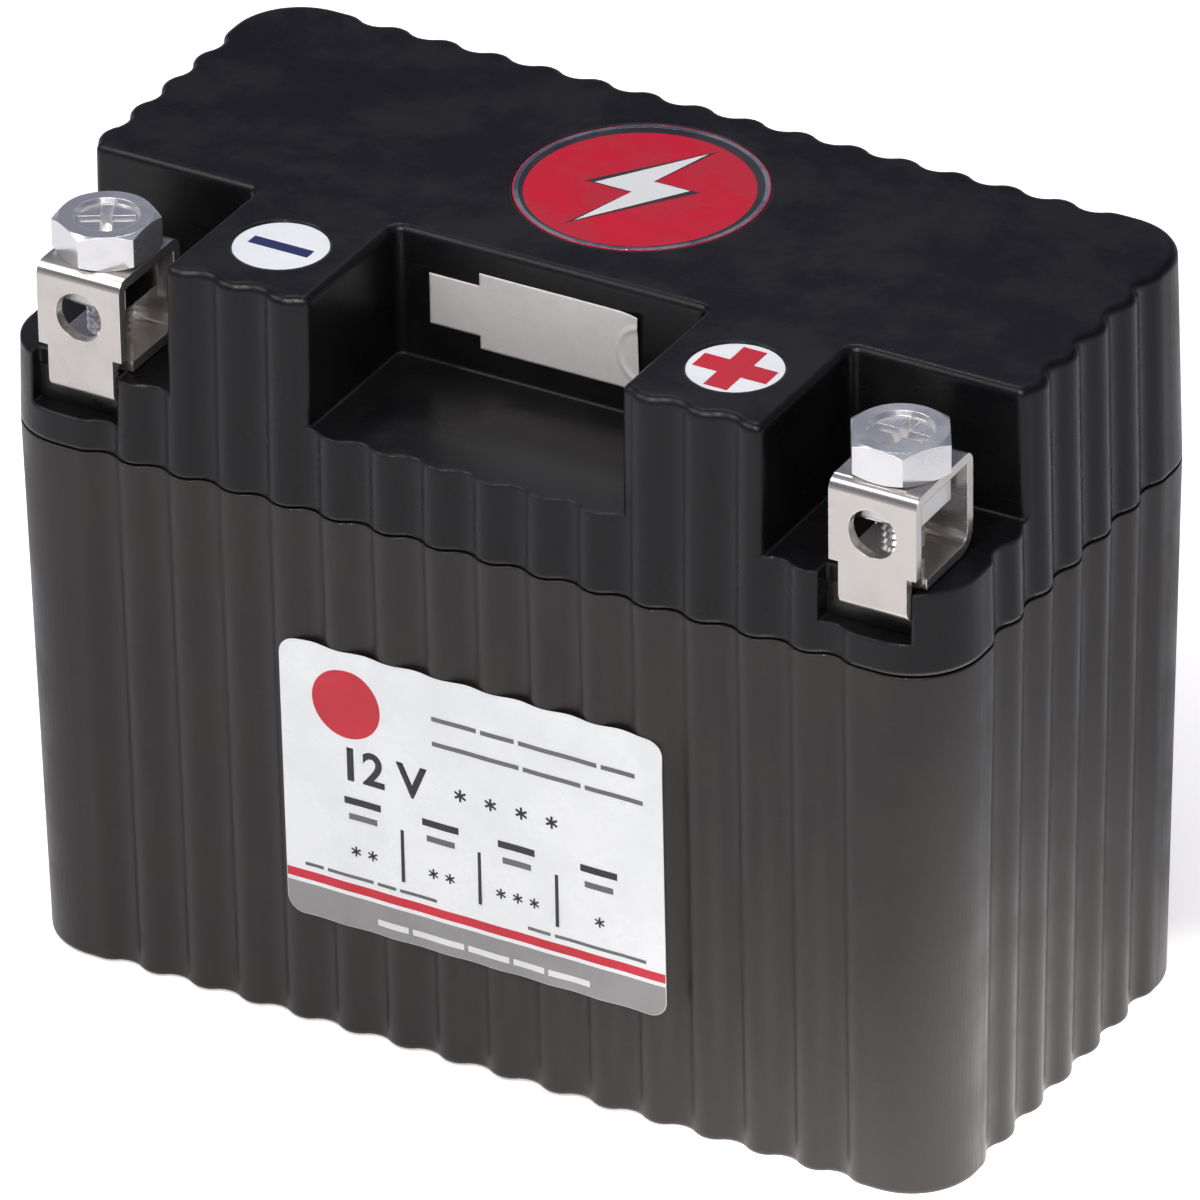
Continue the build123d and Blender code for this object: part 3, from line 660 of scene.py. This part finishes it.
def upright_rules(ink, first, **sizes):
    """Rules of the label's columns. Sizes are in metres."""
    tree, sockets = make_rule_tree()
    piece = bpy.data.objects.new("label_rules", bpy.data.meshes.new("label_rules"))
    bpy.context.scene.collection.objects.link(piece)
    made = piece.modifiers.new("rules", "NODES")
    made.node_group = tree
    sizes.update(
        Ink=ink,
        First=tuple(first),
        Thickness=rule_thickness * MM,
        Pitch=flute_pitch * MM,
        Dip=film_dip * MM,
    )
    for name, value in sizes.items():
        made[sockets[name]] = value
    piece.update_tag()
    seen = bpy.context.evaluated_depsgraph_get()
    mesh = bpy.data.meshes.new_from_object(piece.evaluated_get(seen))
    piece.modifiers.clear()
    piece.data = mesh
    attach(piece, BATTERY)


def print_label():
    """Label film with a generic print: figures, columns, a stripe and a band."""
    place, width, height = label_surface()
    facing = Vector((0, -1, 0))
    corner = 2.0
    spacing = (0.4, 1.0)
    film = Print()
    film.round_bar(0, 0, width, height, [corner] * 4)
    sheet = film.lay(
        "label_film",
        finishes["label_film"],
        lambda x, y: place(x, y, -film_thickness),
        facing,
        "label_film",
        (0.4, 0.6),
        film_thickness * MM,
    )
    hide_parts("front_label")
    black, red, grey = Print(), Print(), Print()
    text_grey, pale = Print(), Print()
    side = 0.06                # white left beside the print

    def down(share):
        return height * (1 - share)

    # band at the foot, with the label's own rounded corners, and the stripe above it
    band_corner = corner - side
    grey.round_bar(side, side, width - side, down(0.885), (band_corner, band_corner, 0, 0))
    red.bar(side, down(0.870), width - side, down(0.838))
    word_bars(pale, width * 0.24, width * 0.80, down(0.965), 0.75, (3, 5, 4, 3, 4))
    # round mark at the upper left and two rows at the upper right
    red.ring((width * 0.174, down(0.185)), 4.1)
    word_bars(text_grey, width * 0.40, width * 0.93, down(0.155), 0.55, (4, 3, 7, 3))
    word_bars(text_grey, width * 0.40, width * 0.95, down(0.245), 0.55, (6, 4, 4))
    # main line
    black.figures("12 V", width * 0.15, down(0.455), 3.9, weight=0.13)
    for share in (0.47, 0.55, 0.63, 0.71):
        black.star((width * share, down(0.40)), 0.75, 0.28)
    # four columns
    upright_rules(
        inks["black"],
        place(width * 0.313, down(0.625), rule_lift),
        Count=3,
        Spacing=width * 0.203 * MM,
        Width=0.4 * MM,
        Height=height * 0.30 * MM,
    )
    columns = ((0.21, 2), (0.415, 2), (0.615, 3), (0.83, 1))
    for share, stars in columns:
        middle = width * share
        black.bar(middle - 2.2, down(0.545), middle + 2.2, down(0.520))
        text_grey.bar(middle - 1.7, down(0.600), middle + 1.7, down(0.578))
        for star in range(stars):
            offset = (star - (stars - 1) / 2) * 2.0
            black.star((middle + offset, down(0.715)), 0.62, 0.22)
    word_bars(text_grey, width * 0.05, width * 0.40, down(0.818), 0.4, (2, 5, 2, 4))
    word_bars(text_grey, width * 0.64, width * 0.95, down(0.818), 0.4, (2, 8))
    layers = (
        (black, "black", ink_lift),
        (red, "red", ink_lift),
        (grey, "grey", ink_lift),
        (text_grey, "text_grey", ink_lift),
        (pale, "pale", top_ink_lift),
    )
    for mark, ink, lift in layers:
        mark.lay(
            f"label_print_{ink}",
            inks[ink],
            lambda x, y, lift=lift: place(x, y, lift),
            facing,
            "label_film",
            spacing,
        )


def top_surface(node):
    """Middle of a flat round piece's top, and a way to lay points on it."""
    low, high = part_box(node)
    middle = (low + high) / 2
    radius = (high.x - low.x) / 2 / MM

    def place(x, y, layer=0):
        lift = (0.008 + 0.014 * layer) * MM
        return Vector((middle.x + x * MM, middle.y + y * MM, high.z + lift))

    return place, radius


def print_discs():
    """Minus sign on one disc and plus sign on the other."""
    up = Vector((0, 0, 1))
    place, radius = top_surface("polarity_disc_negative")
    minus = Print()
    reach, half = radius * 0.70, radius * 0.15
    minus.bar(-reach, -half, reach, half)
    minus.lay("minus_sign", inks["blue"], place, up, "disc_white")
    place, radius = top_surface("polarity_disc_positive")
    plus = Print()
    reach, half = radius * 0.84, radius * 0.27
    plus.outline(
        [
            (half, half), (half, reach), (-half, reach), (-half, half), (-reach, half),
            (-reach, -half), (-half, -half), (-half, -reach), (half, -reach), (half, -half),
            (reach, -half), (reach, half),
        ]
    )
    plus.lay("plus_sign", inks["red"], place, up, "disc_white")


def print_badge():
    """Pale rim, dark crescent and a plain spark sign on the round badge."""
    up = Vector((0, 0, 1))
    place, radius = top_surface("top_badge")
    rim, crescent, spark, shadow = Print(), Print(), Print(), Print()
    rim.ring((0, 0), radius * 0.99, radius * 0.955)
    crescent.ring((0, 0), radius * 0.955, radius * 0.905, hole=(radius * 0.005, radius * -0.035))
    zigzag = [
        (0.20, 0.70), (-0.36, -0.10), (-0.03, -0.10),
        (-0.20, -0.70), (0.36, 0.12), (0.04, 0.12),
    ]
    spark.outline([(x * radius, y * radius) for x, y in reversed(zigzag)])
    spread, stretch = 1.22, 1.10
    shadow.outline([(x * radius * spread, y * radius * stretch) for x, y in reversed(zigzag)])
    rim.lay("badge_rim", inks["silver"], place, up, "badge_red")
    crescent.lay("badge_crescent", inks["black"], place, up, "badge_red")
    shadow.lay("badge_spark_edge", inks["black"], place, up, "badge_red")
    spark.lay("badge_spark", inks["pale"], lambda x, y: place(x, y, 1), up, "badge_red")


# ---------------------------------------------------------------- foil seal over the port
def make_foil_seal():
    """Thin foil with a narrower tail, slack ripples, a thumb crease and a lifted corner."""
    low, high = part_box("port_seal")
    wall_y = high.y
    tail_end = low.x + 6.0 * MM
    tail_inset = 1.5 * MM
    cell = 0.25 * MM
    stand_off = 0.13
    columns = round((high.x - low.x) / cell)
    rows = round((high.z - low.z) / cell)
    form = bmesh.new()
    crease_middle = Vector((high.x + 0.9 * MM, low.z + 4.4 * MM))
    crease_radius = 3.4 * MM
    crease_width = 0.28 * MM
    crease_depth = 0.16
    curl_reach = 3.0 * MM
    curl_height = 0.55

    def depth(x, z):
        ripple = 0.012 * math.sin(x / MM * 0.55 + 0.8) * math.sin(z / MM * 0.5 + x / MM * 0.12)
        slack = 0.006 * math.sin(x / MM * 1.7 + z / MM * 0.9)
        away = (Vector((x, z)) - crease_middle).length
        crease = crease_depth * math.exp(-(((away - crease_radius) / crease_width) ** 2))
        lift = max(0.0, (x - high.x + curl_reach) / curl_reach)
        corner = max(0.0, (z - low.z) / (high.z - low.z))
        curl = curl_height * lift ** 2 * (0.35 + 0.65 * corner)
        return wall_y - (stand_off + ripple + slack + crease + curl) * MM

    grid = {}
    for column in range(columns + 1):
        for row in range(rows + 1):
            x = low.x + column * cell
            z = low.z + row * cell
            grid[column, row] = form.verts.new((x, depth(x, z), z))
    for column in range(columns):
        for row in range(rows):
            middle_x = low.x + (column + 0.5) * cell
            middle_z = low.z + (row + 0.5) * cell
            in_tail = middle_x < tail_end
            beyond = middle_z < low.z + tail_inset or middle_z > high.z - tail_inset
            cut_corner = (high.x - middle_x) + (middle_z - low.z) * 0.9 < 1.1 * MM
            if (in_tail and beyond) or cut_corner:
                continue
            form.faces.new(
                [
                    grid[column, row],
                    grid[column + 1, row],
                    grid[column + 1, row + 1],
                    grid[column, row + 1],
                ]
            )
    bmesh.ops.delete(form, geom=[v for v in form.verts if not v.link_faces], context="VERTS")
    mesh = bpy.data.meshes.new("foil_seal")
    form.to_mesh(mesh)
    form.free()
    mesh.materials.append(finishes["foil_silver"])
    piece = bpy.data.objects.new("foil_seal", mesh)
    bpy.context.scene.collection.objects.link(piece)
    thick = piece.modifiers.new("thickness", "SOLIDIFY")
    thick.thickness = 0.06 * MM
    thick.offset = -1.0
    for face in mesh.polygons:
        face.use_smooth = True
    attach(piece, BATTERY)
    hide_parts("port_seal")


print_label()
print_discs()
print_badge()
make_foil_seal()


# ---------------------------------------------------------------- floor, light and camera
# floor glow: a painted pool of light, brightest around this point beside the battery's right foot
painted_glow_middle = (0.070, -0.020, 0.0)
painted_glow_reach = 0.085             # metres
painted_glow_strength = 2.2
seen_glow = 0.55               # least glow of the floor that the camera sees
floor_gap = 0.2                # millimetres from the battery's foot down to the floor


def make_floor():
    """Large pale floor just under the battery, glowing most beside its right foot: a painted pool of
    light.
    """
    low, _ = cad_box
    form = bmesh.new()
    reach = 4.0
    corners = [(-reach, -reach), (reach, -reach), (reach, reach), (-reach, reach)]
    form.faces.new([form.verts.new((x, y, low[2] - floor_gap * MM)) for x, y in corners])
    mesh = bpy.data.meshes.new("floor")
    form.to_mesh(mesh)
    form.free()
    paper = bpy.data.materials.new("floor_paper")
    paper.use_nodes = True
    tree = paper.node_tree
    shader = tree.nodes["Principled BSDF"]
    shader.inputs["Specular IOR Level"].default_value = 0.1
    fibres = add_node(
        tree, "ShaderNodeTexNoise", {"Vector": in_millimetres(tree), "Scale": 0.8, "Detail": 4.0}
    )
    tree.links.new(
        blend_colour(tree, fibres.outputs[0], (0.90, 0.90, 0.895), (0.94, 0.94, 0.94)),
        shader.inputs["Base Color"],
    )
    shader.inputs["Roughness"].default_value = 0.8
    place = add_node(tree, "ShaderNodeTexCoord")
    away = add_node(
        tree,
        "ShaderNodeVectorMath",
        {0: place.outputs["Object"], 1: painted_glow_middle},
        operation="DISTANCE",
    )
    # painted pool of light: the floor glows, fading out with distance from the glow's middle
    glow = between(tree, away.outputs["Value"], 0.0, painted_glow_reach, painted_glow_strength, 0.0)
    path = add_node(tree, "ShaderNodeLightPath")
    seen = maths(tree, "MULTIPLY", path.outputs["Is Camera Ray"], seen_glow)
    glow = maths(tree, "MAXIMUM", glow, seen)
    shader.inputs["Emission Color"].default_value = (1.0, 0.955, 0.92, 1)
    tree.links.new(glow, shader.inputs["Emission Strength"])
    mesh.materials.append(paper)
    floor = bpy.data.objects.new("floor", mesh)
    bpy.context.scene.collection.objects.link(floor)


def direction_from(across, rise):
    """Way out from the battery: turned from its front by across, and up by rise."""
    return Vector(
        (
            math.sin(across) * math.cos(rise),
            -math.cos(across) * math.cos(rise),
            math.sin(rise),
        )
    )


def softbox(name, azimuth, elevation, distance, size, power, colour):
    """Square soft light that looks at the battery's middle."""
    light = bpy.data.lights.new(name, "AREA")
    light.shape = "RECTANGLE"
    light.size, light.size_y = size
    light.energy = power
    light.color = colour
    lamp = bpy.data.objects.new(name, light)
    bpy.context.scene.collection.objects.link(lamp)
    across, rise = math.radians(azimuth), math.radians(elevation)
    towards = direction_from(across, rise)
    lamp.location = middle + towards * distance
    lamp.rotation_euler = towards.to_track_quat("Z", "Y").to_euler()


def make_room():
    """Room light that fades from a pale horizon to a dim cool ceiling."""
    world = bpy.data.worlds.new("studio")
    bpy.context.scene.world = world
    world.use_nodes = True
    tree = world.node_tree
    ground = tree.nodes["Background"]
    place = add_node(tree, "ShaderNodeTexCoord")
    parts = add_node(tree, "ShaderNodeSeparateXYZ", {0: place.outputs["Generated"]})
    ramp = add_node(tree, "ShaderNodeValToRGB", {0: parts.outputs["Z"]})
    stops = ramp.color_ramp.elements
    stops[0].position, stops[0].color = 0.0, (0.50, 0.48, 0.465, 1)
    stops[1].position, stops[1].color = 1.0, (0.22, 0.25, 0.32, 1)
    for position, colour in (
        (0.16, (0.30, 0.30, 0.32, 1)),
        (0.34, (0.050, 0.056, 0.115, 1)),
        (0.62, (0.056, 0.068, 0.135, 1)),
        (0.80, (0.22, 0.25, 0.32, 1)),
    ):
        stop = stops.new(position)
        stop.color = colour
    path = add_node(tree, "ShaderNodeLightPath")
    seen = blend_colour(tree, path.outputs["Is Camera Ray"], ramp.outputs[0], (0.93, 0.93, 0.93))
    tree.links.new(seen, ground.inputs["Color"])


def make_camera():
    """Long lens from the front right, above the battery."""
    across, rise, roll = math.radians(29.99), math.radians(30.82), math.radians(-0.893)
    distance = 1.3323
    back = direction_from(across, rise)
    level = Vector((math.cos(across), math.sin(across), 0))
    upright = back.cross(level)
    right = level * math.cos(roll) + upright * math.sin(roll)
    above = upright * math.cos(roll) - level * math.sin(roll)
    aim = middle - right * 0.19 * MM - above * 1.13 * MM
    camera = bpy.data.cameras.new("camera")
    camera.sensor_width = 36.0
    camera.lens = 380.0
    camera.clip_end = 50.0
    holder = bpy.data.objects.new("camera", camera)
    bpy.context.scene.collection.objects.link(holder)
    holder.matrix_world = Matrix.LocRotScale(
        aim + back * distance, Matrix((right, above, back)).transposed(), None
    )
    bpy.context.scene.camera = holder


case_low, case_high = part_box("case")
case_middle = (case_low + case_high) / 2
middle = Vector((case_middle.x, case_middle.y, cad_box[1][2] / 2))
make_floor()
make_room()
softbox("key_light", 20, 52, 0.9, (0.7, 0.5), 4.0, (1.0, 0.965, 0.94))
softbox("left_light", -60, 50, 1.0, (0.6, 0.5), 3.6, (1.0, 0.97, 0.95))
softbox("spark_light", 10, 58, 0.8, (0.05, 0.05), 2.0, (1.0, 1.0, 1.0))
softbox("top_light", 210, 50, 0.9, (0.16, 0.10), 0.5, (0.92, 0.95, 1.0))
make_camera()
bpy.context.scene.view_settings.view_transform = "Standard"
